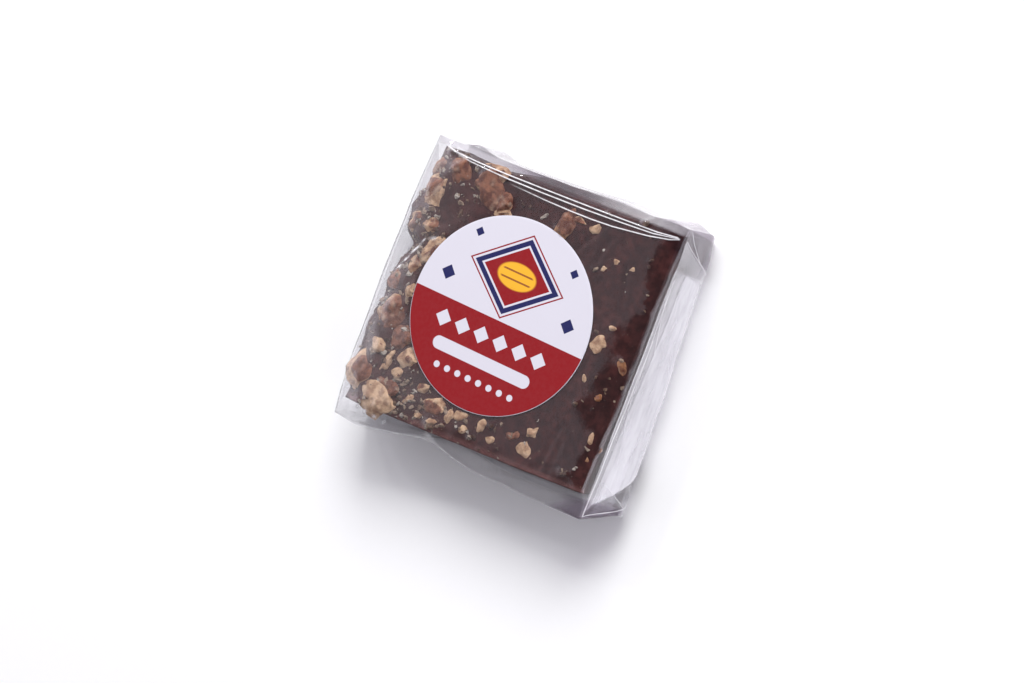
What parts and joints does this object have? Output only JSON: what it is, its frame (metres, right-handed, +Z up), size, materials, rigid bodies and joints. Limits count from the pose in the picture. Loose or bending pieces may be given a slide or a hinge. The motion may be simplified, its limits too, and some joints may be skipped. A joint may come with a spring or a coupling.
{
  "type": "wrapped slab of chocolate pecan fudge",
  "caption": "Square slab of chocolate pecan fudge sealed in folded clear film, lying flat, with a round two-colour paper label on top.",
  "frame": {"origin": "middle of the slab's underside, on the surface it rests on", "axes": "+Z up through the label; +X towards the end fold that the picture shows; +Y towards the back edge"},
  "size_m": [0.0807, 0.0784, 0.0201],
  "materials": {
    "fudge": "smooth dark chocolate fudge under clear film",
    "film": "crisp clear wrapping film with creases",
    "pecan": "chopped pecan, tan inside with red-brown skin",
    "label": "semi-gloss printed sticker, white over deep red"
  },
  "bodies": {
    "root": {"wrapped_fudge": "fudge", "label": "label"}
  },
  "joints": []
}
